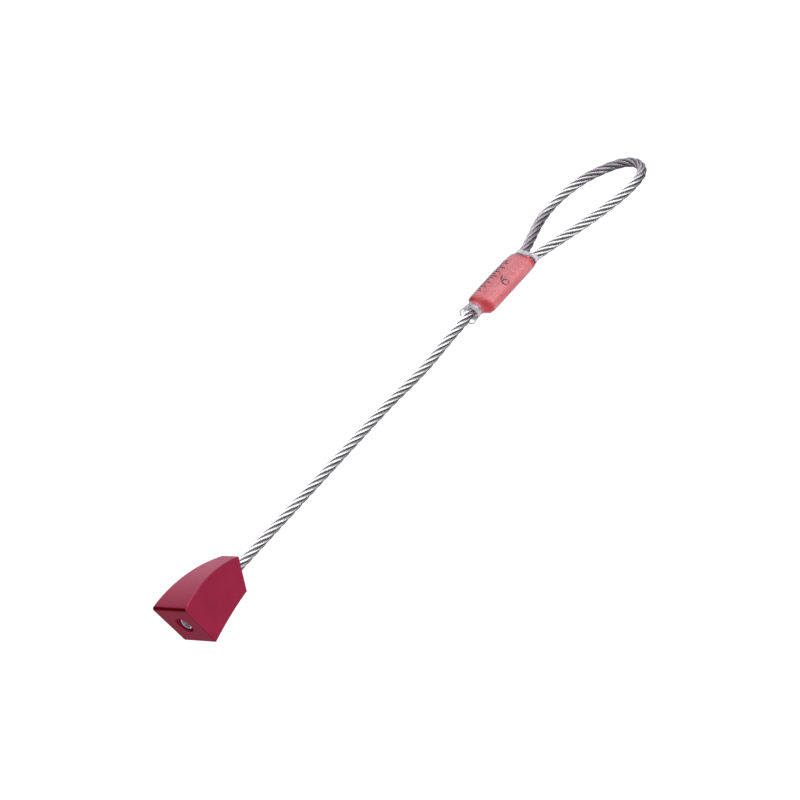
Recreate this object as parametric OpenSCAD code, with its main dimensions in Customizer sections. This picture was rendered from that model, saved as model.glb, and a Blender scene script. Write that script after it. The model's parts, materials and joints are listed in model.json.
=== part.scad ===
// Wired climbing nut: a tapered aluminium head on one wire rope, with a swaged eye.
// Millimetres. +X runs along the wire from the head to the eye, +Z is up, and the nut
// lies with its curved side up. The origin is on the stem's axis, in the middle of the eye.
// Lengths along the wire are counted from the centre of the head's wide end.

/* [Wire rope] */
// Diameter of the wire rope
rope_d = 3.2; // [2.8:0.1:3.4]
// From the head's wide end to where the elastic bend of the stem is centred
stem_bend_at = 124; // [120:1:128]
// From the head's wide end to where the elastic bend of the eye is centred
eye_bend_at = 188; // [187:0.5:189]
// Angle of the eye's plane above the horizontal
eye_tilt = 20; // [0:1:30]

/* [Head] */
// Length of the head along the wire
head_length = 24.4; // [22:0.1:28]
// Thickness of the wide end, from the hollow side to the curved side
wide_thickness = 15.3; // [14:0.1:16]
// Height of the curved side above the wire at the narrow end
narrow_rise = 4.4; // [4:0.1:5]
// Depth of the hollow side below the wire at the narrow end
narrow_drop = 5.4; // [4.5:0.1:6]
// Width of the wide end, from flank to flank
wide_width = 16.2; // [13:0.1:17]
// Width of the narrow end
narrow_width = 8.7; // [7:0.1:10]
// How far the curved side bulges over its chord
bulge = 2.4; // [1.4:0.1:2.6]
// How far the hollow side dips under its chord
hollow = 0.4; // [0.2:0.1:0.8]
// Slant of the wide end
wide_slant = 11; // [0:0.5:12]
// Slant of the narrow end
narrow_slant = 26; // [0:1:30]

/* [Stop] */
// Diameter of the pocket that holds the stop
pocket_d = 6.2; // [6.1:0.1:6.6]
// Depth of the pocket's shoulder
pocket_depth = 8.9; // [8.7:0.1:10]
// Diameter of the stop's body
stop_d = 5.8; // [5.4:0.1:5.9]
// Diameter of the stop's nose, which shows in the pocket
stop_nose_d = 4.2; // [3.9:0.1:4.6]
// How far the stop's nose lies below the wide end
stop_recess = 0.8; // [0.6:0.1:1.2]

/* [Swage and sleeves] */
// Where the swage starts
swage_from = 155; // [154.5:0.5:156]
// Length of the swage
swage_length = 19.5; // [18.5:0.5:20]
// Width of the oval swage
swage_width = 8.6; // [8.2:0.1:8.8]
// Thickness of the oval swage
swage_thickness = 5.4; // [5:0.1:5.6]
// Wall of the coloured sleeve
colour_wall = 0.25; // [0.2:0.05:0.35]
// Wall of the clear sleeve
clear_wall = 0.25; // [0.25:0.05:0.4]
// Width of the clear sleeve's upper lip, which holds both legs of the eye
lip_width = 8.8; // [8.8:0.1:9.4]
// Thickness of the clear sleeve's upper lip
lip_thickness = 4; // [4:0.1:4.6]

/* [Hidden] */
$fn = 96;

// Colours
crimson = [0.58, 0.10, 0.24];
steel = [0.70, 0.71, 0.72];
alloy = [0.80, 0.80, 0.78];
salmon = [0.90, 0.38, 0.36];
film = [0.86, 0.84, 0.86, 0.35];

// Frame
origin_at = 205;
rope_r = rope_d / 2;

// Fits
rope_clearance = 0.1;    // round the rope, in the head and the washer
stack_gap = 0.03;        // between the stop, the washer and the shoulder
washer_thickness = 0.8;
nest_gap = 0.04;         // between the swage and the sleeves
bend_gap = 0.2;          // from each rounded rope end to the middle of a bend
overshoot = 1;           // how far a cutting shape passes the face it cuts
thin = 0.01;             // thickness of the slices that a shoulder is stretched between

// Sides of the swept rope, and rings of each rounded end
rope_sides = 8;
end_rings = 3;

// Routes of the rope, as [distance along the wire, distance across the eye's plane]
live_leg = [[130, 0], [138, 0], [143, 0.1], [148, 0.4], [153, 0.75], [160, 0.75], [168, 0.75],
            [175, 0.75], [178, 1], [181, 1.5], [184, 2.3], [188, 3.5]];
dead_leg = [[156, -2.55], [162, -2.55], [168, -2.55], [174, -2.55], [178, -3.1], [181, -4],
            [184, -4.9], [188, -6.2]];
loop = [[188, 3.5], [192, 4.7], [196, 5.6], [200, 6.1], [204, 6.2], [208, 5.9], [212, 5.2],
        [216, 4.2], [219.5, 2.9], [222.5, 1.2], [225, -0.4], [227.2, -2], [229, -3.8],
        [230.2, -5.6], [230.9, -7.6], [230.7, -9.6], [229.8, -11.4], [228.3, -12.8], [226.4, -13.6],
        [224, -14], [220, -14], [216, -13.7], [212, -13], [208, -12.1], [204, -11.1],
        [200, -10], [196, -8.8], [192, -7.5], [188, -6.2]];

// The middles of the pieces round the rope, across the eye's plane
legs_middle = -0.9;
neck_middle = 0.6;
lip_middle = -1.15;

// ---------- Helpers ----------

// Moves children from lengths along the wire to the object's frame.
module along(distance = 0) translate([distance - origin_at, 0, 0]) children();

// Turns the eye's plane from level to its tilt, about the wire.
module in_eye_plane() rotate([eye_tilt, 0, 0]) children();

// Stands a flat outline, drawn as [across, thickness], on the wire, and gives it a length.
module prism(length) rotate([90, 0, 90]) linear_extrude(length) children();

// A flat oval with round ends.
module oval(width, thickness) {
    side = (width - thickness) / 2;
    for (end = [-1, 1]) translate([end * side, 0]) circle(d = thickness);
    square([2 * side, thickness], center = true);
}

// The direction of a route at one of its points.
function route_point(route, i) = route[max(0, min(len(route) - 1, i))];
function unit(v) = v / norm(v);
function heading(route, i) = unit(route_point(route, i + 1) - route_point(route, i - 1));

// Shortens a route at one end by a distance less than its first stretch.
function trim_start(route, cut) =
    [for (i = [0 : len(route) - 1]) i == 0 ? route[0] + cut * unit(route[1] - route[0]) : route[i]];
function reverse(list) = [for (i = [len(list) - 1 : -1 : 0]) list[i]];
function trim_end(route, cut) = reverse(trim_start(reverse(route), cut));

// Rings of a rope along a route that lies in the level plane, as [middle, heading, radius].
function dome(middle, way, sign) = [for (k = [1 : end_rings]) let (a = 90 * k / (end_rings + 0.3))
    [middle + sign * rope_r * sin(a) * way, way, rope_r * cos(a)]];
function rings(route) = let (last = len(route) - 1) concat(
    reverse(dome(route[0], heading(route, 0), -1)),
    [for (i = [0 : last]) [route[i], heading(route, i), rope_r]],
    dome(route[last], heading(route, last), 1));
function ring_points(ring) = [for (k = [0 : rope_sides - 1]) let (a = 360 * (k + 0.5) / rope_sides)
    [ring[0].x - ring[1].y * ring[2] * cos(a), ring[0].y + ring[1].x * ring[2] * cos(a),
     ring[2] * sin(a)]];

// A rope with rounded ends along a route in the level plane.
module rope(route) {
    all = rings(route);
    last = len(all) - 1;
    points = [for (ring = all) each ring_points(ring)];
    walls = [for (i = [0 : last - 1], k = [0 : rope_sides - 1]) let (m = (k + 1) % rope_sides)
        [i * rope_sides + k, i * rope_sides + m, (i + 1) * rope_sides + m, (i + 1) * rope_sides + k]];
    caps = [[for (k = [rope_sides - 1 : -1 : 0]) k],
            [for (k = [0 : rope_sides - 1]) last * rope_sides + k]];
    polyhedron(points, concat(walls, caps), convexity = 6);
}

// A straight rope along the wire with a flat start and a round end.
module straight_rope(from, to) {
    along(from) rotate([0, 90, 0]) cylinder(r = rope_r, h = to - rope_r - from);
    along(to - rope_r) sphere(r = rope_r);
}

// ---------- Head ----------

// The corners of the head's side view, as [distance along the wire, height].
function on_wide_end(z) = [-tan(wide_slant) * z, z];
function on_narrow_end(z) = [head_length + tan(narrow_slant) * z, z];
wide_top = on_wide_end(wide_thickness / 2);
wide_bottom = on_wide_end(-wide_thickness / 2);
narrow_top = on_narrow_end(narrow_rise);
narrow_bottom = on_narrow_end(-narrow_drop);

// The circle that passes through a and b, and bows out over the chord by the given rise.
module bow(a, b, rise) {
    chord = b - a;
    radius = (norm(chord) ^ 2 / 4 + rise ^ 2) / (2 * rise);
    outward = unit([-chord.y, chord.x]);
    translate((a + b) / 2 + (rise - radius) * outward) circle(r = radius, $fn = 240);
}

// Between the two slanted ends, the upper side is an arc that bows out, and the lower side is one that
// bows in. Both ends are drawn too long, and the arcs cut them to length.
module side_view() {
    reach = wide_thickness;
    difference() {
        intersection() {
            polygon([on_wide_end(-reach), on_narrow_end(-reach), on_narrow_end(reach),
                     on_wide_end(reach)]);
            bow(wide_top, narrow_top, bulge);
        }
        bow(wide_bottom, narrow_bottom, hollow);
    }
}

// The plan is a trapezium, so both flanks are flat and taper towards the wire.
module plan_view() {
    reach = 5;
    growth = (wide_width - narrow_width) / 2 / head_length;
    wide = wide_width / 2 + growth * reach;
    narrow = narrow_width / 2 - growth * reach;
    polygon([[-reach, -wide], [head_length + reach, -narrow], [head_length + reach, narrow],
             [-reach, wide]]);
}

module nut_head() {
    lead_in = 0.5;
    color(crimson) along() difference() {
        intersection() {
            rotate([90, 0, 0]) linear_extrude(2 * wide_width, center = true) side_view();
            translate([0, 0, -wide_thickness]) linear_extrude(2 * wide_thickness) plan_view();
        }
        // Pocket for the stop, then the hole for the rope
        translate([pocket_depth - 2 * wide_thickness, 0, 0])
            rotate([0, 90, 0]) cylinder(d = pocket_d, h = 2 * wide_thickness);
        rotate([0, 90, 0])
            cylinder(r = rope_r + rope_clearance, h = 2 * head_length);
        translate([head_length - lead_in, 0, 0]) rotate([0, 90, 0])
            cylinder(r1 = rope_r + rope_clearance, r2 = rope_r + rope_clearance + 2 * lead_in,
                     h = 2 * lead_in);
    }
}

// ---------- Stop and washer ----------

stop_end = pocket_depth - 2 * stack_gap - washer_thickness;
nose_length = 1.4;

module thrust_washer() {
    color(steel) along(stop_end + stack_gap) rotate([0, 90, 0]) difference() {
        cylinder(d = pocket_d - 2 * rope_clearance, h = washer_thickness);
        translate([0, 0, -overshoot])
            cylinder(r = rope_r + rope_clearance, h = washer_thickness + 2 * overshoot);
    }
}

module stop_ferrule() {
    edge = 0.4;
    body_from = stop_recess + nose_length;
    body_length = stop_end - body_from;
    color(steel) along(stop_recess) rotate([0, 90, 0]) rotate_extrude()
        polygon([[rope_r, 0], [stop_nose_d / 2 - edge / 2, 0], [stop_nose_d / 2, edge / 2],
                 [stop_nose_d / 2, nose_length], [stop_d / 2, nose_length + edge],
                 [stop_d / 2, nose_length + body_length], [rope_r, nose_length + body_length]]);
}

// ---------- Rope ----------

end_depth = 0.2;   // how far the rope's cut end lies inside the stop

module lower_stem_cable() {
    color(steel) straight_rope(stop_recess + end_depth, stem_bend_at - bend_gap);
}

module upper_stem_cable() {
    start = stem_bend_at + bend_gap + rope_r;
    route = concat([[start, 0]], trim_end(live_leg, bend_gap + rope_r));
    color(steel) along() in_eye_plane() rope(route);
}

module tail_cable() {
    route = trim_end(dead_leg, bend_gap + rope_r);
    color(steel) along() in_eye_plane() rope(route);
}

module eye_cable() {
    cut = bend_gap + rope_r;
    color(steel) along() in_eye_plane() rope(trim_end(trim_start(loop, cut), cut));
}

// ---------- Swage and sleeves ----------

swage_to = swage_from + swage_length;
leg_gap = 0.1;      // between the two legs in the swage, and half of it round them

module swage_ferrule() {
    color(alloy) along(swage_from) in_eye_plane() difference() {
        prism(swage_length) translate([legs_middle, 0]) oval(swage_width, swage_thickness);
        translate([-overshoot, 0, 0]) prism(swage_length + 2 * overshoot)
            translate([legs_middle, 0]) oval(2 * rope_d + 2 * leg_gap, rope_d + leg_gap);
    }
}

// One oval tube that closes down to a round neck round the stem.
module necked_tube(from, to, width, thickness, neck_from, neck_d, shoulder) {
    in_eye_plane() {
        along(from) prism(to - from) translate([legs_middle, 0]) oval(width, thickness);
        hull() {
            along(from) prism(thin) translate([legs_middle, 0]) oval(width, thickness, $fn = 32);
            along(from - shoulder) prism(thin) translate([neck_middle, 0]) circle(d = neck_d, $fn = 32);
        }
        along(neck_from) prism(from - shoulder + thin - neck_from)
            translate([neck_middle, 0]) circle(d = neck_d);
    }
}

colour_from = swage_from - 0.8;
colour_to = swage_to + 0.9;
colour_neck_from = 150.4;
colour_neck_d = rope_d + 4 * colour_wall;
colour_width = swage_width + 2 * nest_gap + 2 * colour_wall;
colour_thickness = swage_thickness + 2 * nest_gap + 2 * colour_wall;

module colour_sleeve() {
    wall = 2 * colour_wall;
    color(salmon) difference() {
        necked_tube(colour_from, colour_to, colour_width, colour_thickness,
                    colour_neck_from, colour_neck_d, 1.4);
        necked_tube(colour_from + colour_wall, colour_to + overshoot, colour_width - wall,
                    colour_thickness - wall, colour_neck_from - overshoot, colour_neck_d - wall, 1.4);
    }
}

clear_from = colour_from - 0.5;
clear_to = colour_to + 0.3;
clear_neck_from = 146.9;
clear_neck_d = 5.9;
lip_from = clear_to + 2;
lip_to = 179.5;
clear_width = colour_width + 2 * nest_gap + 2 * clear_wall;
clear_thickness = colour_thickness + 2 * nest_gap + 2 * clear_wall;

// The outside (inset 0) or the inside (inset of one wall) of the clear sleeve.
module clear_shape(inset, past) {
    width = clear_width - 2 * inset;
    thickness = clear_thickness - 2 * inset;
    necked_tube(clear_from + inset, clear_to, width, thickness, clear_neck_from - past,
                clear_neck_d - 2 * inset, 2);
    in_eye_plane() {
        hull() {
            along(clear_to) prism(thin) translate([legs_middle, 0]) oval(width, thickness, $fn = 32);
            along(lip_from) prism(thin) translate([lip_middle, 0])
                oval(lip_width - 2 * inset, lip_thickness - 2 * inset, $fn = 32);
        }
        along(lip_from) prism(lip_to + past - lip_from) translate([lip_middle, 0])
            oval(lip_width - 2 * inset, lip_thickness - 2 * inset);
    }
}

module clear_sleeve() {
    color(film) difference() {
        clear_shape(0, 0);
        clear_shape(clear_wall, overshoot);
    }
}

nut_head();
thrust_washer();
stop_ferrule();
lower_stem_cable();
upper_stem_cable();
tail_cable();
eye_cable();
swage_ferrule();
colour_sleeve();
clear_sleeve();
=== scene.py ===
"""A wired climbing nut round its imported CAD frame: the anodised head, the wire rope laid strand by
strand, and the swage with its two shrunk sleeves and their print. Lengths are in metres. "Along" is the
distance along the wire from the centre of the head's wide end, and "across" is the distance from the
stem's axis in the plane of the eye."""

import json
import math

import bmesh
import bpy
import numpy as np
from mathutils import Matrix, Vector


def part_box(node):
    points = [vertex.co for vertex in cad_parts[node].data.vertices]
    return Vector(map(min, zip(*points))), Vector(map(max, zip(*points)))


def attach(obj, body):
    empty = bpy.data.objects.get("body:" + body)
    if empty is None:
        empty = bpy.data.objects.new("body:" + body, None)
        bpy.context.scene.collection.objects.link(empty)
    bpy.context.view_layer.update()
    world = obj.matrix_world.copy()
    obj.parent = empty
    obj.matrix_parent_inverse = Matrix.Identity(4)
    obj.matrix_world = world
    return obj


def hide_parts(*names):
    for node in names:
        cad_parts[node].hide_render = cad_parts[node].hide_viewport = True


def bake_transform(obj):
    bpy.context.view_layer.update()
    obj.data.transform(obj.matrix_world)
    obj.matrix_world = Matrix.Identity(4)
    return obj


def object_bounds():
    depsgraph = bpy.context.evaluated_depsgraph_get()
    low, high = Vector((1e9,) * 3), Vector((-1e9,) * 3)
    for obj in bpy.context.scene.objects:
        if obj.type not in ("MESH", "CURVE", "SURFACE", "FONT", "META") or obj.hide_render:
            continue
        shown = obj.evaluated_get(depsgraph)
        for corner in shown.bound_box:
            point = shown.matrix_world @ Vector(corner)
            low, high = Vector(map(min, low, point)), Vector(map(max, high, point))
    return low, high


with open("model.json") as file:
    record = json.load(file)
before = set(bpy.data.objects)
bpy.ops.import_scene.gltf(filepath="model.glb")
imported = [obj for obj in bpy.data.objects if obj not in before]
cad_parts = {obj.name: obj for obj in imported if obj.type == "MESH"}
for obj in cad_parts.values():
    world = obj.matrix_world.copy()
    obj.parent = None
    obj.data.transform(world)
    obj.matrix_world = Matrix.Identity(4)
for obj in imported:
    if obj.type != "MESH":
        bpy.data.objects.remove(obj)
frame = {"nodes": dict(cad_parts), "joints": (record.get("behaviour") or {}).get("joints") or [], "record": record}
cad_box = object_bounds()

JOINTS = {joint["name"]: joint for joint in frame["joints"]}
MOUNTS = {mount["name"]: mount for mount in frame["record"]["mounts"]}
WIDE_END = JOINTS["head_spin"]["pos_m"][0]
ALONG = Vector((1, 0, 0))
ACROSS = Vector(JOINTS["eye_bend"]["axis"]).normalized()
NORMAL = Vector(MOUNTS["carabiner_eye"]["axis"]).normalized()


def place(along, across=0.0, above=0.0):
    """The row-frame point at these distances along the wire, across the eye's plane and above it."""
    return Vector((WIDE_END, 0, 0)) + along * ALONG + across * ACROSS + above * NORMAL


def along_at(co):
    return co.x - WIDE_END


# ---------------------------------------------------------------- camera

CAMERA_PLACE = Vector((-0.6683, -0.8737, 0.4624))
CAMERA_AZIMUTH = math.radians(-33.18)
CAMERA_ELEVATION = math.radians(23.99)
CAMERA_ROLL = math.radians(32.56)
CAMERA_LENS = 164.25
SENSOR_WIDTH = 36


def make_camera():
    back = Vector((math.sin(CAMERA_AZIMUTH) * math.cos(CAMERA_ELEVATION),
                   -math.cos(CAMERA_AZIMUTH) * math.cos(CAMERA_ELEVATION),
                   math.sin(CAMERA_ELEVATION)))
    level = Vector((math.cos(CAMERA_AZIMUTH), math.sin(CAMERA_AZIMUTH), 0))
    upright = back.cross(level)
    up = upright * math.cos(CAMERA_ROLL) + level * math.sin(CAMERA_ROLL)
    right = up.cross(back)
    camera = bpy.data.objects.new("camera", bpy.data.cameras.new("camera"))
    bpy.context.scene.collection.objects.link(camera)
    turn = Matrix((right, up, back)).transposed().to_4x4()
    camera.matrix_world = Matrix.Translation(CAMERA_PLACE) @ turn
    camera.data.sensor_width = SENSOR_WIDTH
    camera.data.lens = CAMERA_LENS
    camera.data.clip_start = 0.01
    camera.data.clip_end = 20
    bpy.context.scene.camera = camera


make_camera()


# ---------------------------------------------------------------- mesh helpers

def mesh_piece(name, points, faces, material, smooth=True):
    mesh = bpy.data.meshes.new(name)
    mesh.from_pydata([tuple(p) for p in points], [], [tuple(f) for f in faces])
    mesh.validate()
    mesh.materials.append(material)
    if smooth:
        mesh.shade_smooth()
    piece = bpy.data.objects.new(name, mesh)
    bpy.context.scene.collection.objects.link(piece)
    return piece


def with_modifiers(piece):
    """Replaces the piece's mesh by what its modifiers make of it."""
    depsgraph = bpy.context.evaluated_depsgraph_get()
    piece.data = bpy.data.meshes.new_from_object(piece.evaluated_get(depsgraph))
    piece.modifiers.clear()


def mark_points(piece, name, values):
    """Gives each of the piece's points a number that its material reads."""
    attribute = piece.data.attributes.new(name, "FLOAT", "POINT")
    attribute.data.foreach_set("value", np.array(values, np.float32))


def mark_by_place(piece, name, value_at):
    mark_points(piece, name, [value_at(vertex.co) for vertex in piece.data.vertices])


def tube_faces(rings, sides, closed_ends=True, first=0):
    """Faces of a tube of rings, each of so many sides, with a flat cap at each end."""
    faces = []
    for ring in range(rings - 1):
        low = first + ring * sides
        for side in range(sides):
            after = (side + 1) % sides
            faces.append((low + side, low + after, low + sides + after, low + sides + side))
    if closed_ends:
        faces.append(tuple(first + side for side in reversed(range(sides))))
        last = first + (rings - 1) * sides
        faces.append(tuple(last + side for side in range(sides)))
    return faces


def ring_of_tube_faces(rings, sides):
    """Faces of a tube whose last ring joins its first, as the skin of a hollow sleeve does."""
    faces = tube_faces(rings, sides, closed_ends=False)
    last = (rings - 1) * sides
    for side in range(sides):
        after = (side + 1) % sides
        faces.append((last + side, last + after, after, side))
    return faces


def eased(x, low=0.0, high=1.0):
    """0 up to low, 1 from high on, and a smooth rise between them."""
    x = min(1.0, max(0.0, (x - low) / (high - low)))
    return x * x * (3 - 2 * x)


# ---------------------------------------------------------------- node helpers

class Nodes:
    """A node tree, with short calls for what the materials and the world share."""

    def __init__(self, tree):
        self.tree = tree

    def node(self, kind, **values):
        made = self.tree.nodes.new(kind)
        for key, value in values.items():
            setattr(made, key, value)
        return made

    def put(self, socket, value):
        """Links an output to the socket, or sets the socket's own value."""
        if isinstance(value, bpy.types.NodeSocket):
            self.tree.links.new(value, socket)
        else:
            socket.default_value = value

    def math(self, operation, a, b):
        made = self.node("ShaderNodeMath", operation=operation)
        self.put(made.inputs[0], a)
        self.put(made.inputs[1], b)
        return made.outputs[0]

    def spread(self, value, low, high, to_low, to_high, interpolation_type="LINEAR"):
        made = self.node("ShaderNodeMapRange", interpolation_type=interpolation_type)
        self.put(made.inputs["Value"], value)
        self.put(made.inputs["From Min"], low)
        self.put(made.inputs["From Max"], high)
        self.put(made.inputs["To Min"], to_low)
        self.put(made.inputs["To Max"], to_high)
        return made.outputs["Result"]

    def mix(self, factor, a, b):
        made = self.node("ShaderNodeMix", data_type="RGBA")
        self.put(made.inputs["Factor"], factor)
        self.put(made.inputs["A"], (*a, 1) if isinstance(a, tuple) else a)
        self.put(made.inputs["B"], (*b, 1) if isinstance(b, tuple) else b)
        return made.outputs["Result"]


class Shader(Nodes):
    """A material's nodes, with the surface that they feed and the places that their patterns follow."""

    def __init__(self, name):
        self.material = bpy.data.materials.new(name)
        self.material.use_nodes = True
        super().__init__(self.material.node_tree)
        self.surface = self.tree.nodes["Principled BSDF"]
        self.position = self.node("ShaderNodeTexCoord").outputs["Object"]

    def set(self, **values):
        for key, value in values.items():
            self.put(self.surface.inputs[key.replace("_", " ")], value)

    def noise(self, scale, detail, roughness, vector=None):
        made = self.node("ShaderNodeTexNoise")
        self.put(made.inputs["Vector"], vector or self.position)
        self.put(made.inputs["Scale"], scale)
        self.put(made.inputs["Detail"], detail)
        self.put(made.inputs["Roughness"], roughness)
        return made.outputs["Fac"]

    def stretched(self, scale):
        """Positions squeezed along the wire, so that a pattern runs in streaks along it."""
        made = self.node("ShaderNodeMapping")
        self.put(made.inputs["Vector"], self.position)
        self.put(made.inputs["Scale"], (scale, 1, 1))
        return made.outputs["Vector"]

    def attribute(self, name):
        return self.node("ShaderNodeAttribute", attribute_name=name).outputs["Fac"]

    def ramp(self, value, *stops):
        made = self.node("ShaderNodeValToRGB")
        elements = made.color_ramp.elements
        while len(elements) < len(stops):
            elements.new(0.5)
        for element, (at, color) in zip(elements, stops):
            element.position = at
            element.color = (*color, 1)
        self.put(made.inputs["Fac"], value)
        return made.outputs["Color"]

    def bump(self, height, distance, strength):
        made = self.node("ShaderNodeBump")
        self.put(made.inputs["Height"], height)
        self.put(made.inputs["Distance"], distance)
        self.put(made.inputs["Strength"], strength)
        return made.outputs["Normal"]


# ---------------------------------------------------------------- materials

SMALL_EDGE_SHADE = 0.25         # how far the small rounds go towards the broad one's painted dark-red shade


def anodised_alloy():
    """Blasted, dyed alloy: crimson with a fine grain, and glossier on its rounds, which carry a painted dark-red
    shade for the dark reflections on them.
    """
    shader = Shader("anodised_alloy")
    cloud = shader.noise(110, 3, 0.55)
    grain = shader.noise(5200, 2, 0.6)
    speck = shader.noise(2600, 3, 0.7)
    dye = shader.ramp(cloud, (0.3, (0.360, 0.0075, 0.046)), (0.7, (0.430, 0.0105, 0.062)))
    dye = shader.mix(shader.spread(grain, 0.35, 0.7, 0.0, 0.35), dye, (0.48, 0.020, 0.085))
    dye = shader.mix(shader.spread(speck, 0.60, 0.72, 0.0, 0.35), dye, (0.22, 0.005, 0.035))
    small_edge_shade = shader.math("MULTIPLY", shader.attribute("edge"), SMALL_EDGE_SHADE)
    round_edge = shader.math("MAXIMUM", small_edge_shade, shader.attribute("broad_shade"))
    round_edge = shader.spread(round_edge, 0.05, 0.75, 0.0, 1.0)
    blasted = shader.math("MULTIPLY", grain, shader.spread(round_edge, 0, 0.8, 1.0, 0.0))
    matt = shader.spread(blasted, 0.3, 0.7, 0.36, 0.46)
    # Painted shade: the rounds are mixed towards a dark red that stands in for the dark reflections on them.
    shader.set(Base_Color=shader.mix(round_edge, dye, (0.190, 0.0008, 0.006)),
               Metallic=0.3, Specular_IOR_Level=0.4, Normal=shader.bump(blasted, 0.00003, 0.6),
               Roughness=shader.math("SUBTRACT", matt, shader.math("MULTIPLY", round_edge, 0.14)))
    return shader.material


def drawn_wire():
    """Bright wire with random grime, with painted shade between its wires and strands, and duller and darkened on
    parts of the eye, where the darkening is a painted dark reflection.
    """
    shader = Shader("drawn_wire")
    groove = shader.attribute("groove")
    cloud = shader.noise(420, 3, 0.6)
    scratch = shader.noise(9000, 2, 0.5)
    bright = shader.ramp(cloud, (0.3, (0.62, 0.61, 0.63)), (0.7, (0.80, 0.80, 0.81)))
    patchy = shader.spread(cloud, 0.3, 0.7, 0.55, 0.95)
    # Painted dark reflection: where the eye is dull it is also darkened to violet grey.
    dull_and_shaded = shader.math("MULTIPLY", shader.attribute("dull_and_shaded"), patchy)
    bright = shader.mix(dull_and_shaded, bright, (0.25, 0.22, 0.26))
    # Painted shade down the grooves between strands and wires, with a little random grime from the cloud.
    shade_and_grime = shader.math("ADD", groove, shader.math("MULTIPLY", cloud, 0.2))
    shade_and_grime = shader.spread(shade_and_grime, 0.3, 1.1, 0, 1)
    matt = shader.math("MAXIMUM", groove, dull_and_shaded)
    shader.set(Base_Color=shader.mix(shade_and_grime, bright, (0.17, 0.165, 0.165)),
               Metallic=1.0, Roughness=shader.spread(matt, 0, 1, 0.16, 0.45),
               Normal=shader.bump(scratch, 0.00001, 0.4))
    return shader.material


def stop_steel():
    """Dull plated steel with fine turned lines and a slight stain."""
    shader = Shader("stop_steel")
    stain = shader.noise(900, 3, 0.6)
    lines = shader.noise(14000, 1, 0.5)
    shader.set(Base_Color=shader.ramp(stain, (0.3, (0.62, 0.62, 0.64)), (0.7, (0.85, 0.85, 0.86))),
               Metallic=0.3, Roughness=shader.spread(lines, 0.3, 0.7, 0.34, 0.5),
               Normal=shader.bump(lines, 0.00001, 0.5))
    return shader.material


def swage_alloy():
    """Soft alloy pressed between dies: dull, with streaks along it."""
    shader = Shader("swage_alloy")
    streaks = shader.noise(900, 3, 0.6, shader.stretched(0.15))
    shader.set(Base_Color=shader.ramp(streaks, (0.3, (0.55, 0.53, 0.52)), (0.7, (0.80, 0.78, 0.76))),
               Metallic=1.0, Roughness=shader.spread(streaks, 0.3, 0.7, 0.35, 0.5),
               Normal=shader.bump(streaks, 0.00003, 0.5))
    return shader.material


def colour_film():
    """Translucent salmon-red tube, of a deeper red where it has no metal behind it."""
    shader = Shader("colour_film")
    cloud = shader.noise(420, 3, 0.6, shader.stretched(0.2))
    tint = shader.ramp(cloud, (0.3, (0.84, 0.150, 0.190)), (0.7, (0.96, 0.275, 0.295)))
    tint = shader.mix(shader.attribute("tight"), tint, (0.78, 0.040, 0.055))
    shader.set(Base_Color=tint, Roughness=shader.spread(cloud, 0.3, 0.7, 0.34, 0.46),
               Alpha=0.93, Coat_Weight=0.5, Coat_Roughness=0.22,
               Normal=shader.bump(shader.noise(650, 2, 0.5), 0.00006, 0.5))
    return shader.material


def clear_film():
    """Clear tube with a violet cast, which shows at grazing angles, on its rim and where it is milky; white on its
    milky lip and in a painted highlight band round its neck.
    """
    shader = Shader("clear_film")
    facing = shader.node("ShaderNodeLayerWeight")
    shader.put(facing.inputs["Blend"], 0.3)
    ripple = shader.noise(420, 2, 0.5)
    patchy = shader.spread(ripple, 0.35, 0.65, 0.62, 1.0)
    milky_and_highlight = shader.math("MULTIPLY", shader.attribute("milky_and_highlight"), patchy)
    veil = shader.spread(facing.outputs["Facing"], 0.35, 1.0, 0.02, 0.8)
    veil = shader.math("MAXIMUM", veil, milky_and_highlight)
    veil = shader.math("MAXIMUM", veil, shader.math("MULTIPLY", shader.attribute("rim"), 0.75))
    cast = shader.ramp(ripple, (0.3, (0.30, 0.26, 0.32)), (0.7, (0.44, 0.40, 0.46)))
    # The milky lip, and the painted highlight band at the neck, go white and more opaque.
    shader.set(Base_Color=shader.mix(milky_and_highlight, cast, (0.95, 0.91, 0.96)),
               Roughness=0.14, Alpha=veil, Coat_Weight=0.5, Coat_Roughness=0.06,
               Normal=shader.bump(ripple, 0.0001, 0.6))
    return shader.material


def print_ink():
    """Grey-brown print, thin enough to be a little uneven."""
    shader = Shader("print_ink")
    speck = shader.noise(3000, 2, 0.5)
    shader.set(Base_Color=shader.ramp(speck, (0.35, (0.22, 0.105, 0.115)), (0.7, (0.31, 0.17, 0.185))),
               Roughness=0.55, Alpha=shader.spread(speck, 0.3, 0.6, 0.7, 0.92))
    return shader.material


def pale_floor():
    """A white light table, dimmer in the nut's own reflections, as if grey cards lay round it."""
    shader = Shader("pale_floor")
    paper = shader.ramp(shader.noise(3, 2, 0.5), (0.3, (0.41, 0.41, 0.41)), (0.7, (0.43, 0.43, 0.43)))
    mirrored = shader.node("ShaderNodeLightPath").outputs["Is Glossy Ray"]
    shader.set(Base_Color=shader.mix(mirrored, paper, (0.10, 0.10, 0.10)), Roughness=1.0,
               Specular_IOR_Level=0.0, Emission_Color=(1, 1, 1, 1),
               Emission_Strength=shader.spread(mirrored, 0, 1, 0.80, 0.11))
    return shader.material


ALLOY = anodised_alloy()
WIRE = drawn_wire()
STEEL = stop_steel()
SWAGE = swage_alloy()
COLOUR = colour_film()
CLEAR = clear_film()
INK = print_ink()


# ---------------------------------------------------------------- rope

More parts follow.
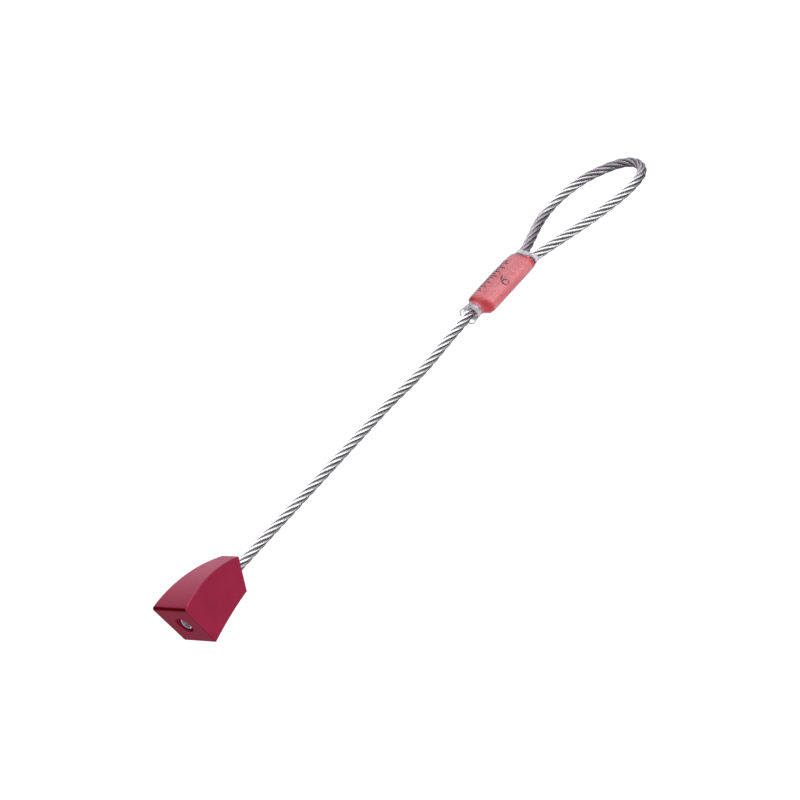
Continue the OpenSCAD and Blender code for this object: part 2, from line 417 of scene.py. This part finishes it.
ROPE_D = 0.0032
LAY = 0.0215              # along the rope for one turn of a strand
STRANDS = 6
STRAND_R = 0.00052
STRAND_AT = ROPE_D / 2 - STRAND_R
WIRES = 12                # in the outer layer of a strand
WIRE_R = 0.000105
WIRE_AT = STRAND_R - WIRE_R
WIRE_LAY = 0.007          # along the strand for one turn of a wire, the other way round
POINTS_PER_WIRE = 4
GROOVE_FROM = 0.00012     # under the rope's outside, where the painted shade between its strands begins
GROOVE_DEPTH = 0.0004     # from there to where it is darkest
WIRE_GROOVE_SHADE = 0.32          # share of that painted shade in the small grooves between a strand's wires
CUT_END_SHADE = 0.1        # share of a groove's painted shade that lies on the bare cut ends
RING_STEP = 0.00045       # along the rope

# A slight set in the free stem, past the stretch where the head slides
SAG_START = 0.100
SAG_END = 0.142
SAG_DEPTH = 0.00065
SAG_WAY = Vector((0, 0.470, 0.883))

# The rope's route as (along, across), from the stop to the end of its dead leg
STEM = [(millimetres / 1000, 0) for millimetres in range(1, 122, 10)]
LIVE_LEG = [(0.130, 0), (0.138, 0), (0.143, 0.0001), (0.148, 0.0004), (0.153, 0.00075),
            (0.160, 0.00075), (0.168, 0.00075), (0.175, 0.00075), (0.178, 0.001), (0.181, 0.0015),
            (0.184, 0.0023)]
LOOP = [(0.188, 0.0035), (0.192, 0.0047), (0.196, 0.0056), (0.200, 0.0061), (0.204, 0.0062),
        (0.208, 0.0059), (0.212, 0.0052), (0.216, 0.0042), (0.2195, 0.0029), (0.2225, 0.0012),
        (0.225, -0.0004), (0.2272, -0.002), (0.229, -0.0038), (0.2302, -0.0056), (0.2309, -0.0076),
        (0.2307, -0.0096), (0.2298, -0.0114), (0.2283, -0.0128), (0.2264, -0.0136), (0.224, -0.014),
        (0.220, -0.014), (0.216, -0.0137), (0.212, -0.013), (0.208, -0.0121), (0.204, -0.0111),
        (0.200, -0.010), (0.196, -0.0088), (0.192, -0.0075), (0.188, -0.0062)]
DEAD_LEG = [(0.184, -0.0049), (0.181, -0.004), (0.178, -0.0031), (0.174, -0.00255), (0.168, -0.00255),
            (0.162, -0.00255), (0.156, -0.00255)]


def smooth_line(points, per_span=24):
    """A cubic B-spline that follows the points closely, as an array of places."""
    points = np.array([points[0]] + list(points) + [points[-1]], float)
    ends = 2 * points[1] - points[2], 2 * points[-2] - points[-3]
    points[0], points[-1] = ends
    line = []
    for i in range(len(points) - 3):
        a, b, c, d = points[i:i + 4]
        for k in range(per_span):
            u = k / per_span
            line.append(((1 - u) ** 3 * a + (3 * u ** 3 - 6 * u * u + 4) * b
                         + (-3 * u ** 3 + 3 * u * u + 3 * u + 1) * c + u ** 3 * d) / 6)
    line.append((points[-3] + 4 * points[-2] + points[-1]) / 6)
    return np.array(line)


def evenly(line, step):
    """The same line with places one step apart, and the length along it to each."""
    lengths = np.concatenate([[0], np.cumsum(np.linalg.norm(np.diff(line, axis=0), axis=1))])
    count = max(2, int(round(lengths[-1] / step)) + 1)
    at = np.linspace(0, lengths[-1], count)
    return np.stack([np.interp(at, lengths, line[:, axis]) for axis in range(3)], axis=1), at


def carried_frames(line):
    """Unit tangents, and two unit normals that are carried along the line without turning about it."""
    tangents = np.gradient(line, axis=0)
    tangents /= np.linalg.norm(tangents, axis=1)[:, None]
    normals = np.zeros_like(line)
    normal = np.array(NORMAL)
    for i, tangent in enumerate(tangents):
        normal = normal - np.dot(normal, tangent) * tangent
        normal /= np.linalg.norm(normal)
        normals[i] = normal
    return tangents, normals, np.cross(tangents, normals)


def strand_profile():
    """A strand's radius at each point round it: twelve round wires side by side."""
    radii = []
    for k in range(WIRES * POINTS_PER_WIRE):
        off = (k % POINTS_PER_WIRE - POINTS_PER_WIRE / 2) * 2 * math.pi / (WIRES * POINTS_PER_WIRE)
        reach = WIRE_AT * math.sin(off)
        rise = math.sqrt(max(0.0, WIRE_R ** 2 - reach ** 2))
        radii.append(WIRE_AT * math.cos(off) + rise)
    return np.array(radii)


def strand_points(line, lengths, frames, at_radius, start_angle):
    """Places of a strand's surface, and how far down a groove of the rope each lies, which sets the painted shade
    there.
    """
    tangents, normals, binormals = frames
    turn = start_angle + 2 * math.pi * lengths / LAY
    cos, sin = np.cos(turn)[:, None], np.sin(turn)[:, None]
    out = cos * normals + sin * binormals
    way = tangents + at_radius * 2 * math.pi / LAY * (cos * binormals - sin * normals)
    way /= np.linalg.norm(way, axis=1)[:, None]
    side = np.cross(way, out)
    middle = line + at_radius * out
    radii = strand_profile()
    sides = len(radii)
    angles = 2 * math.pi * np.arange(sides) / sides
    wire_turn = angles[None, :] - 2 * math.pi * lengths[:, None] / WIRE_LAY
    round_it = (np.cos(wire_turn)[..., None] * out[:, None, :]
                + np.sin(wire_turn)[..., None] * side[:, None, :])
    points = middle[:, None, :] + radii[None, :, None] * round_it
    from_axis = np.linalg.norm(points - line[:, None, :], axis=2)
    between_strands = np.clip((ROPE_D / 2 - GROOVE_FROM - from_axis) / GROOVE_DEPTH, 0, 1)
    between_wires = (STRAND_R - radii) / (STRAND_R - radii.min())
    groove = np.clip(between_strands + WIRE_GROOVE_SHADE * between_wires[None, :], 0, 1)
    groove[[0, -1]] *= CUT_END_SHADE
    return points.reshape(-1, 3), groove.reshape(-1)


def laid_rope(name, line, lengths):
    """Six strands round a straight one, each of twelve wires that turn the other way."""
    frames = carried_frames(line)
    sides = WIRES * POINTS_PER_WIRE
    strands = [(STRAND_AT, strand * 2 * math.pi / STRANDS) for strand in range(STRANDS)]
    points, faces, grooves = [], [], []
    for at_radius, start_angle in strands + [(0.0, 0.0)]:
        surface, groove = strand_points(line, lengths, frames, at_radius, start_angle)
        faces += tube_faces(len(line), sides, first=len(points) * len(line) * sides)
        points.append(surface)
        grooves.append(groove)
    piece = mesh_piece(name, np.concatenate(points), faces, WIRE)
    mark_points(piece, "groove", np.concatenate(grooves))
    return piece


def stem_sag(along):
    """How far the stem is moved along SAG_WAY."""
    share = (along - SAG_START) / (SAG_END - SAG_START)
    return -SAG_DEPTH * math.sin(math.pi * min(1.0, max(0.0, share))) ** 2


CROWN_DULL_AND_SHADE = 0.85


def dull_and_shaded_at(co):
    """How dull the eye is, and how far it is darkened as a painted dark reflection: most where its live leg leaves
    the sleeve, and again over its crown.
    """
    along = along_at(co)
    if co.dot(ACROSS) < 0:
        return CROWN_DULL_AND_SHADE * eased(along, 0.219, 0.225)
    return max(1 - eased(along, 0.195, 0.203), CROWN_DULL_AND_SHADE * eased(along, 0.211, 0.221))


def make_rope():
    route = STEM + LIVE_LEG + LOOP + DEAD_LEG
    line = smooth_line([place(along, across) for along, across in route])
    for point in line[:len(line) // 2]:
        point += stem_sag(point[0] - WIDE_END) * np.array(SAG_WAY)
    line, lengths = evenly(line, RING_STEP)
    split = len(line) // 2      # the rope's middle, just inside the swage's stem end
    stem = laid_rope("stem_wire_rope", line[:split + 1], lengths[:split + 1])
    eye = laid_rope("eye_wire_rope", line[split:], lengths[split:])
    # Dull stretches of the eye, which also carry a painted dark reflection.
    mark_by_place(eye, "dull_and_shaded", dull_and_shaded_at)
    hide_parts("lower_stem_cable", "upper_stem_cable")
    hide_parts("eye_cable", "tail_cable")
    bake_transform(stem)
    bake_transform(eye)


make_rope()


# ---------------------------------------------------------------- head

HEAD_LENGTH = 0.0244
WIDE_THICKNESS = 0.0153
NARROW_RISE = 0.0044      # above the stem's axis at the narrow end
NARROW_DROP = 0.0054      # and below it
WIDE_WIDTH = 0.0162
NARROW_WIDTH = 0.0087
BULGE = 0.0024            # of the curved side
HOLLOW = 0.0004           # of the side under it
WIDE_SLANT = math.radians(11)
NARROW_SLANT = math.radians(26)
POCKET_R = 0.0031
POCKET_DEPTH = 0.0089
BORE_R = 0.0017
HOLES_WITHIN = 1.02 * POCKET_R
POCKET_RIM = 1.1 * POCKET_R
BROAD_ROUND = 0.00105     # where the curved side meets the wide end
EDGE_ROUND = 0.00042
RIM_ROUND = 0.0002
BROAD_ABOVE = 0.4 * WIDE_THICKNESS
BROAD_BEFORE = 0.0005     # the broad round lies above that height, and along the wire up to here
FLAT_FACING = 0.995       # cosine between a point's normal and a flat side's, where a round begins
ROUND_FACING = 0.925      # and where it counts in full
CORNER_FADE = 1.4         # how fast the broad round's painted dark-red shade fades towards its two corners
TURNED_SIDES = 96


def arc(start, end, rise, steps):
    """Points from start to end on an arc that bows to the left of the way by its rise."""
    start, end = Vector(start), Vector(end)
    chord = end - start
    left = Vector((-chord.y, chord.x)).normalized()
    radius = (chord.length ** 2 / 4 + rise ** 2) / (2 * rise)
    middle = (start + end) / 2 + (rise - radius) * left
    spread = math.asin(chord.length / 2 / radius)
    way = chord.normalized()
    points = []
    for k in range(steps + 1):
        angle = spread * (2 * k / steps - 1)
        points.append(middle + radius * (math.sin(angle) * way + math.cos(angle) * left))
    return points


def flank_half_width(along):
    return (WIDE_WIDTH - (WIDE_WIDTH - NARROW_WIDTH) * along / HEAD_LENGTH) / 2


def head_outline():
    """The head's side view, as (along, height): the curved side, then the hollow one."""
    wide_top = (-math.tan(WIDE_SLANT) * WIDE_THICKNESS / 2, WIDE_THICKNESS / 2)
    wide_bottom = (-wide_top[0], -wide_top[1])
    narrow_top = (HEAD_LENGTH + math.tan(NARROW_SLANT) * NARROW_RISE, NARROW_RISE)
    narrow_bottom = (HEAD_LENGTH - math.tan(NARROW_SLANT) * NARROW_DROP, -NARROW_DROP)
    above = arc(wide_top, narrow_top, BULGE, 28)
    del above[1]        # the broad round needs a long first stretch
    return above, arc(narrow_bottom, wide_bottom, -HOLLOW, 20)


def turned(outline):
    """An outline of (along, radius) turned about the stem's axis: its points, ring by ring."""
    points = []
    for along, radius in outline:
        for side in range(TURNED_SIDES):
            angle = 2 * math.pi * side / TURNED_SIDES
            points.append(place(along) + Vector((0, radius * math.cos(angle), radius * math.sin(angle))))
    return points


def is_broad_edge(edge):
    """Whether this is the edge where the curved side meets the wide end."""
    return all(v.co.z > BROAD_ABOVE and along_at(v.co) < 0 for v in edge.verts)


def head_blank():
    """The head with sharp edges and no hole."""
    above, below = head_outline()
    outline = above + below
    count = len(outline)
    points = [place(p.x) + Vector((0, side * flank_half_width(p.x), p.y))
              for side in (-1, 1) for p in outline]
    faces = [tuple(range(count)), tuple(reversed(range(count, 2 * count)))]
    for k in range(count):
        after = (k + 1) % count
        faces.append((k, count + k, count + after, after))
    return mesh_piece("anodised_head", points, faces, ALLOY, smooth=False)


def round_edges(head):
    solid = bmesh.new()
    solid.from_mesh(head.data)
    bmesh.ops.recalc_face_normals(solid, faces=solid.faces)
    weight = solid.edges.layers.float.new("bevel_weight_edge")
    for edge in solid.edges:
        if edge.calc_face_angle(0) > math.radians(30):
            edge[weight] = 1.0 if is_broad_edge(edge) else EDGE_ROUND / BROAD_ROUND
    solid.to_mesh(head.data)
    solid.free()
    bevel = head.modifiers.new("bevel", "BEVEL")
    bevel.limit_method = "WEIGHT"
    bevel.width = BROAD_ROUND
    bevel.segments = 6
    bevel.use_clamp_overlap = False
    with_modifiers(head)


def cut_bore(head):
    """Cuts the stop's pocket and the rope's hole, right through both ends."""
    past = 0.01
    outline = [(-past, POCKET_R), (POCKET_DEPTH, POCKET_R), (POCKET_DEPTH, BORE_R),
               (HEAD_LENGTH + past, BORE_R)]
    faces = tube_faces(len(outline), TURNED_SIDES)
    cutter = mesh_piece("bore_cutter", turned(outline), faces, ALLOY, smooth=False)
    cut = head.modifiers.new("bore", "BOOLEAN")
    cut.operation = "DIFFERENCE"
    cut.solver = "EXACT"
    cut.object = cutter
    with_modifiers(head)
    bpy.data.objects.remove(cutter, do_unlink=True)


def round_rims(head):
    """Breaks the sharp edges of the pocket and the hole."""
    solid = bmesh.new()
    solid.from_mesh(head.data)
    rims = [edge for edge in solid.edges
            if edge.calc_face_angle(0) > math.radians(40)
            and all(math.hypot(v.co.y, v.co.z) < HOLES_WITHIN for v in edge.verts)]
    bmesh.ops.bevel(solid, geom=rims, offset=RIM_ROUND, offset_type="OFFSET", segments=3,
                    profile=0.5, affect="EDGES", clamp_overlap=True)
    solid.to_mesh(head.data)
    solid.free()


def shade_head(head):
    """Smooth shading that leaves the flat sides flat."""
    head.data.shade_smooth()
    weigh = head.modifiers.new("weigh", "WEIGHTED_NORMAL")
    weigh.keep_sharp = False
    weigh.weight = 90
    with_modifiers(head)


def side_normals():
    """Outward normals of the head's flat sides: its two flanks and its two ends."""
    taper = math.atan((WIDE_WIDTH - NARROW_WIDTH) / 2 / HEAD_LENGTH)
    flats = [Vector((math.sin(taper), side * math.cos(taper), 0)) for side in (-1, 1)]
    flats.append(Vector((-math.cos(WIDE_SLANT), 0, -math.sin(WIDE_SLANT))))
    flats.append(Vector((math.cos(NARROW_SLANT), 0, -math.sin(NARROW_SLANT))))
    return flats


def arc_slope(points, at):
    """The upward unit normal of a line of (along, height) points, near a distance along the wire."""
    pairs = sorted(zip(points, points[1:]), key=lambda pair: abs((pair[0].x + pair[1].x) / 2 - at))
    step = pairs[0][1] - pairs[0][0]
    normal = Vector((-step.y, 0, step.x)).normalized()
    return normal if normal.z > 0 else -normal


def mark_edges(head):
    """Marks how far each point lies on a small round and on the broad one: where the alloy is glossier and where
    its dark-red shade is painted.
    """
    above, below = head_outline()
    flats = side_normals()
    edge, broad_shade = [], []
    for vertex in head.data.vertices:
        along = along_at(vertex.co)
        sides = flats + [arc_slope(above, along), -arc_slope(below, along)]
        facing = max(vertex.normal.dot(side) for side in sides)
        outside = math.hypot(vertex.co.y, vertex.co.z) > POCKET_RIM
        how_round = (FLAT_FACING - facing) / (FLAT_FACING - ROUND_FACING)
        how_round = min(1.0, max(0.0, how_round)) if outside else 0.0
        broad = along < BROAD_BEFORE and vertex.co.z > BROAD_ABOVE
        from_corner = 1 - min(1.0, abs(vertex.normal.y) * CORNER_FADE)
        # Painted shade masks: the small rounds, and the broad round faded towards its corners.
        edge.append(0.0 if broad else how_round)
        broad_shade.append(how_round * from_corner if broad else 0.0)
    mark_points(head, "edge", edge)
    mark_points(head, "broad_shade", broad_shade)


def make_head():
    head = head_blank()
    round_edges(head)
    cut_bore(head)
    round_rims(head)
    shade_head(head)
    mark_edges(head)
    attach(head, "head")
    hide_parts("nut_head")


make_head()


# ---------------------------------------------------------------- stop and washer

def make_stop():
    low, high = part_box("stop_ferrule")
    start, end = low[0] - WIDE_END, high[0] - WIDE_END
    nose_r, body_r, rope_r = 0.0021, 0.0029, ROPE_D / 2 + 0.00002
    nose_to = start + 0.0014
    outline = [(start + 0.0001, rope_r), (start, rope_r + 0.0001), (start, nose_r - 0.00025),
               (start + 0.00008, nose_r - 0.0001), (start + 0.00025, nose_r), (nose_to, nose_r),
               (nose_to + 0.0004, body_r), (end - 0.0002, body_r), (end, body_r - 0.0002), (end, rope_r)]
    faces = ring_of_tube_faces(len(outline), TURNED_SIDES)
    stop = mesh_piece("swaged_stop", turned(outline), faces, STEEL)
    bevel = stop.modifiers.new("round", "BEVEL")
    bevel.width = 0.00006
    bevel.segments = 2
    bevel.angle_limit = math.radians(30)
    with_modifiers(stop)
    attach(stop, "stem")
    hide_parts("stop_ferrule")
    washer = frame["nodes"]["thrust_washer"]
    washer.data.materials.clear()
    washer.data.materials.append(STEEL)


make_stop()


# ---------------------------------------------------------------- swage and sleeves

SECTION_SIDES = 72
FLATNESS = 2.2            # how sharply an oval's flats turn into its round ends
WAIST_WIDTH = 0.32        # of the oval's width
RIM_BEAD = 0.4            # of its wall, that a sleeve's rounded rim stands out


def push(angle):
    """How far across the flats, from -1 to 1, an oval's point lies at this angle round it."""
    return math.tanh(FLATNESS * math.cos(angle)) / math.tanh(FLATNESS)


def oval_section(width, thickness, waist=0.0):
    """Points (across, above) of a flat oval with round ends, dipped by the waist at its middle."""
    straight = (width - thickness) / 2
    points = []
    for side in range(SECTION_SIDES):
        angle = 2 * math.pi * side / SECTION_SIDES
        across = straight * push(angle) + thickness / 2 * math.cos(angle)
        dip = waist * math.exp(-(across / (WAIST_WIDTH * width)) ** 2)
        points.append((across, (thickness / 2 - dip) * math.sin(angle)))
    return points


def lofted(stations):
    """Rings of an oval tube. A station is (along, middle, width, thickness, waist, lean), and the lean
    makes the ring reach further along on one side."""
    rings = []
    for along, middle, width, thickness, waist, lean in stations:
        ring = []
        for across, above in oval_section(width, thickness, waist):
            ring.append(place(along + lean * across, across + middle, above))
        rings.append(ring)
    return rings


def between(stations, step=0.0004):
    """More stations, eased between the given ones."""
    made = []
    for a, b in zip(stations, stations[1:]):
        steps = max(1, int(round((b[0] - a[0]) / step)))
        for k in range(steps):
            share = k / steps
            soft = eased(share)
            along = a[0] + share * (b[0] - a[0])
            made.append([along] + [p + soft * (q - p) for p, q in zip(a[1:], b[1:])])
    made.append(list(stations[-1]))
    return made


def thinner(stations, wall):
    return [[along, middle, width - 2 * wall, thickness - 2 * wall, waist, lean]
            for along, middle, width, thickness, waist, lean in stations]


def lofted_skin(name, rings, material):
    points = [point for ring in rings for point in ring]
    return mesh_piece(name, points, ring_of_tube_faces(len(rings), SECTION_SIDES), material)


def rim(station, wall, further):
    """The ring half-way through a sleeve's wall, a little further along than its end."""
    middle = thinner([station], wall / 2)[0]
    return lofted([[station[0] + further] + middle[1:]])


def make_tube(name, stations, wall, material):
    """A hollow sleeve: its outside, a rounded rim at each end, and its inside."""
    outside = between(stations)
    inside = list(reversed(lofted(thinner(outside, wall))))
    bead = RIM_BEAD * wall
    rings = lofted(outside) + rim(outside[-1], wall, bead) + inside + rim(outside[0], wall, -bead)
    return lofted_skin(name, rings, material)


SWAGE_MIDDLE = -0.00088
SWAGE_WIDTH = 0.0083
SWAGE_THICKNESS = 0.0051
SWAGE_WAIST = 0.0009
SWAGE_WALL = 0.001
SWAGE_STEPS = 60
SWAGE_BITES = 8           # marks of the pressing dies
BITE = 0.0001
COLOUR_WALL = 0.00024
CLEAR_WALL = 0.00012

COLOUR_STATIONS = [
    (0.1506, 0.0001, 0.0051, 0.0045, 0, 0), (0.1519, 0.0, 0.0052, 0.0046, 0, 0),
    (0.1525, -0.0003, 0.0074, 0.0050, 0, 0), (0.1531, -0.0005, 0.0091, 0.0056, 0.0001, 0),
    (0.1542, -0.0006, 0.0095, 0.0059, 0.0001, 0), (0.1650, -0.0006, 0.0096, 0.0059, 0.0002, 0),
    (0.1715, -0.0007, 0.0094, 0.0059, 0.0001, -0.02), (0.1742, -0.00075, 0.0091, 0.0060, 0.0001, -0.12),
    (0.1758, -0.0008, 0.0089, 0.0058, 0.0002, -0.19)]
CLEAR_STATIONS = [
    (0.1469, 0.0003, 0.0062, 0.0062, 0, 0), (0.1474, 0.0003, 0.0059, 0.0058, 0, 0),
    (0.1500, 0.0002, 0.0056, 0.0052, 0, 0), (0.1517, 0.0001, 0.0056, 0.0050, 0, 0),
    (0.1524, -0.0003, 0.0078, 0.0054, 0, 0), (0.1530, -0.0005, 0.0095, 0.0059, 0, 0),
    (0.1543, -0.0006, 0.0098, 0.0062, 0.0001, 0), (0.1650, -0.0006, 0.0099, 0.0062, 0.0002, 0),
    (0.1715, -0.0007, 0.0097, 0.0062, 0.0001, -0.02), (0.1744, -0.00075, 0.0094, 0.0063, 0.0001, -0.12),
    (0.1760, -0.0008, 0.0092, 0.0061, 0.0002, -0.19), (0.1771, -0.00105, 0.0085, 0.0042, 0.0004, -0.10),
    (0.1786, -0.0011, 0.0083, 0.0037, 0.0005, -0.03), (0.1791, -0.0011, 0.0085, 0.0039, 0.0005, 0)]
CLEAR_START = CLEAR_STATIONS[0][0]
CLEAR_END = CLEAR_STATIONS[-1][0]


def make_swage():
    low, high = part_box("swage_ferrule")
    start, end = low[0] - WIDE_END, high[0] - WIDE_END
    stations = []
    for k in range(SWAGE_STEPS + 1):
        share = k / SWAGE_STEPS
        along = start + share * (end - start)
        bite = BITE * math.cos(share * SWAGE_BITES * 2 * math.pi)
        width, thickness = SWAGE_WIDTH + bite, SWAGE_THICKNESS + bite
        stations.append((along, SWAGE_MIDDLE, width, thickness, SWAGE_WAIST, 0))
    inside = list(reversed(lofted(thinner(stations, SWAGE_WALL))))
    swage = lofted_skin("pressed_swage", lofted(stations) + inside, SWAGE)
    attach(swage, "ferrule")
    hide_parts("swage_ferrule")


def tight_at(co):
    """Where the coloured tube hangs free of the metal: its shoulder, its end towards the eye, and less
    so its neck."""
    along = along_at(co)
    shoulder = min(0.3 + 0.7 * eased(along, 0.1515, 0.1523), 1 - eased(along, 0.1534, 0.1548))
    return max(shoulder, eased(along, 0.1750, 0.1758))


def milky_and_highlight_at(co):
    """Where the clear tube turns white: its lip towards the eye, which has gone milky, and a band round its neck,
    which is a painted highlight.
    """
    along = along_at(co)
    lip = eased(along, CLEAR_END - 0.0024, CLEAR_END - 0.0012)
    highlight_band = (eased(along, CLEAR_START + 0.0012, CLEAR_START + 0.0022)
            * (1 - eased(along, CLEAR_START + 0.0032, CLEAR_START + 0.0044)))
    return max(0.95 * lip, 0.75 * highlight_band)


def rim_at(co):
    """The clear tube's cut end on the stem."""
    return 1 - eased(along_at(co), CLEAR_START, CLEAR_START + 0.0004)


def make_sleeves():
    colour = make_tube("colour_tube", COLOUR_STATIONS, COLOUR_WALL, COLOUR)
    mark_by_place(colour, "tight", tight_at)
    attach(colour, "ferrule")
    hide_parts("colour_sleeve")
    clear = make_tube("clear_tube", CLEAR_STATIONS, CLEAR_WALL, CLEAR)
    # Milky lip, and a painted highlight band round the neck.
    mark_by_place(clear, "milky_and_highlight", milky_and_highlight_at)
    mark_by_place(clear, "rim", rim_at)
    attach(clear, "ferrule")
    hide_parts("clear_sleeve")


# ---------------------------------------------------------------- print on the sleeve

PRINT_MIDDLE = -0.0006
PRINT_WIDTH = 0.0096
PRINT_THICKNESS = 0.0059
PRINT_LIFT = 0.00003
PRINT_DEPTH = 0.00003
TURN_R = 0.0034           # across the print for one radian of turn

TICK_START = 0.1566
TICK_STEP = 0.00108
TICK_EDGE = math.radians(40)
TICK_WIDTH = 0.00033
TICK_PARTS = 6
TICK_TURNS = (0.60, 0.44, 0.70, 0.52, 0.74, 0.48, 0.66, 0.76, 0.50, 0.72, 0.56, 0.78, 0.46, 0.74, 0.62)

NUMERAL_PLACE = 0.1634
NUMERAL_TURN = math.radians(125)
BOWL_R = 0.00098
BOWL_POINTS = 32
BOWL_WIDTH = 0.00036
NUMERAL_STEM = [(-0.5, -0.85), (-0.15, -1.2), (0.3, -1.5), (0.9, -1.68), (1.55, -1.72)]
NUMERAL_STEM_WIDTH = 0.00033


def on_tube(along, turn, lift):
    """A point over the coloured tube, at a turn from across the eye's plane towards above it."""
    straight = (PRINT_WIDTH - PRINT_THICKNESS) / 2
    reach = PRINT_THICKNESS / 2 + lift
    across = PRINT_MIDDLE + straight * push(turn) + reach * math.cos(turn)
    return place(along, across, reach * math.sin(turn))


def ribbon(stroke, width, closed):
    """Points and faces of a thin printed line. A stroke is a list of (along, turn)."""
    points = []
    count = len(stroke)
    for k, (along, turn) in enumerate(stroke):
        before = stroke[(k - 1) % count] if closed or k > 0 else stroke[k]
        after = stroke[(k + 1) % count] if closed or k < count - 1 else stroke[k]
        way = Vector((after[0] - before[0], (after[1] - before[1]) * TURN_R)).normalized()
        side = Vector((-way.y, way.x)) * width / 2
        for sign, lift in ((-1, 0), (1, 0), (1, PRINT_DEPTH), (-1, PRINT_DEPTH)):
            edge_turn = turn + sign * side.y / TURN_R
            points.append(on_tube(along + sign * side.x, edge_turn, PRINT_LIFT + lift))
    return points, ring_of_tube_faces(count, 4) if closed else tube_faces(count, 4)


def printed(name, strokes):
    """One piece of print from (stroke, width, closed) lines."""
    points, faces = [], []
    for stroke, width, closed in strokes:
        found, sides = ribbon(stroke, width, closed)
        faces += [tuple(len(points) + corner for corner in face) for face in sides]
        points += found
    piece = mesh_piece(name, points, faces, INK, smooth=False)
    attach(piece, "ferrule")


def make_print():
    """Plain ticks of mixed lengths along one edge of the tube, and a size numeral on its front."""
    ticks = []
    for k, turn in enumerate(TICK_TURNS):
        along = TICK_START + TICK_STEP * k
        line = [(along, TICK_EDGE + turn * part / TICK_PARTS) for part in range(TICK_PARTS + 1)]
        ticks.append((line, TICK_WIDTH, False))
    printed("sleeve_ticks", ticks)
    angles = [2 * math.pi * k / BOWL_POINTS for k in range(BOWL_POINTS)]
    circle = [(math.cos(angle), math.sin(angle)) for angle in angles]
    bowl, stem = [[(NUMERAL_PLACE + BOWL_R * x, NUMERAL_TURN + BOWL_R * y / TURN_R) for x, y in line]
                  for line in (circle, NUMERAL_STEM)]
    printed("size_numeral", [(bowl, BOWL_WIDTH, True), (stem, NUMERAL_STEM_WIDTH, False)])


make_swage()
make_sleeves()
make_print()


# ---------------------------------------------------------------- stage

FLOOR_DROP = 0.11         # so that the stem and the eye bend down to their limits above the floor
FLOOR_HALF = 3.0
KEY_PLACE = Vector((-0.5, 0.15, 1.6))
KEY_AIM = Vector((-0.1, 0, 0))
KEY_SIZE = 1.2
KEY_POWER = 2.7


def make_floor():
    height = cad_box[0][2] - FLOOR_DROP
    corners = [(x * FLOOR_HALF, y * FLOOR_HALF, height) for x, y in ((-1, -1), (1, -1), (1, 1), (-1, 1))]
    floor = mesh_piece("floor", corners, [(0, 1, 2, 3)], pale_floor(), smooth=False)


def make_key_light():
    light = bpy.data.lights.new("key", "AREA")
    light.shape = "DISK"
    light.size = KEY_SIZE
    light.energy = KEY_POWER
    lamp = bpy.data.objects.new("key", light)
    bpy.context.scene.collection.objects.link(lamp)
    lamp.location = KEY_PLACE
    lamp.rotation_euler = (KEY_AIM - KEY_PLACE).to_track_quat("-Z", "Y").to_euler()


class Studio(Nodes):
    """The world's nodes. Its x, y and z are the direction that a ray looks in."""

    def __init__(self):
        world = bpy.data.worlds.new("studio")
        world.use_nodes = True
        bpy.context.scene.world = world
        super().__init__(world.node_tree)
        split = self.node("ShaderNodeSeparateXYZ")
        self.put(split.inputs[0], self.node("ShaderNodeTexCoord").outputs["Generated"])
        self.x, self.y, self.z = split.outputs
        self.rays = self.node("ShaderNodeLightPath").outputs

    def rise(self, value, low, high, to_low=0.0, to_high=1.0):
        return self.spread(value, low, high, to_low, to_high, "SMOOTHSTEP")

    def product(self, *values):
        result = values[0]
        for value in values[1:]:
            result = self.math("MULTIPLY", result, value)
        return result


def mirrored_room(studio):
    """What shiny things show: a faint violet grey room with a long white panel on the eye's side. Behind
    the nut the room is brighter past the eye, and dark past the head."""
    behind = studio.rise(studio.y, 0.40, 0.80)
    past_eye = studio.product(behind, studio.rise(studio.x, 0.1, 0.6), studio.rise(studio.z, -0.2, 0.0))
    past_head = studio.product(behind, studio.rise(studio.x, -0.2, 0.1, 1, 0))
    room = studio.mix(past_eye, (0.37, 0.355, 0.38), (1.3, 1.27, 1.45))
    room = studio.mix(past_head, room, (0.02, 0.01, 0.02))
    panel = studio.product(studio.rise(studio.z, -0.05, 0.15), studio.rise(studio.x, 0.12, 0.28),
                           studio.rise(studio.x, 0.54, 0.62, 1.0, 0.08),
                           studio.rise(studio.y, 0.40, 0.80, 1, 0))
    white = studio.mix(studio.rise(studio.y, -0.3, 0.35), (3.6, 3.6, 3.6), (2.0, 2.0, 2.0))
    return studio.mix(panel, room, white)


def even_light(studio):
    """What lights matt things: white, weaker from the head's side and weakest from behind."""
    even = studio.mix(studio.rise(studio.x, -0.7, 0.2), (0.34, 0.34, 0.38), (1.02, 1.02, 1.02))
    even = studio.mix(studio.rise(studio.y, 0.1, 0.75, 0.0, 0.95), even, (0, 0, 0))
    return studio.mix(studio.rise(studio.z, 0.3, 0.9, 0.0, 0.08), even, (0, 0, 0))


def make_world():
    """White where the camera looks, with the light and the reflections set apart from that."""
    studio = Studio()
    light = studio.mix(studio.rays["Is Glossy Ray"], even_light(studio), mirrored_room(studio))
    seen = studio.mix(studio.rays["Is Camera Ray"], light, (1.0, 1.0, 1.0))
    background = studio.tree.nodes["Background"]
    studio.put(background.inputs["Color"], seen)
    studio.put(background.inputs["Strength"], 1.0)


make_floor()
make_key_light()
make_world()
bpy.context.scene.view_settings.view_transform = "Standard"
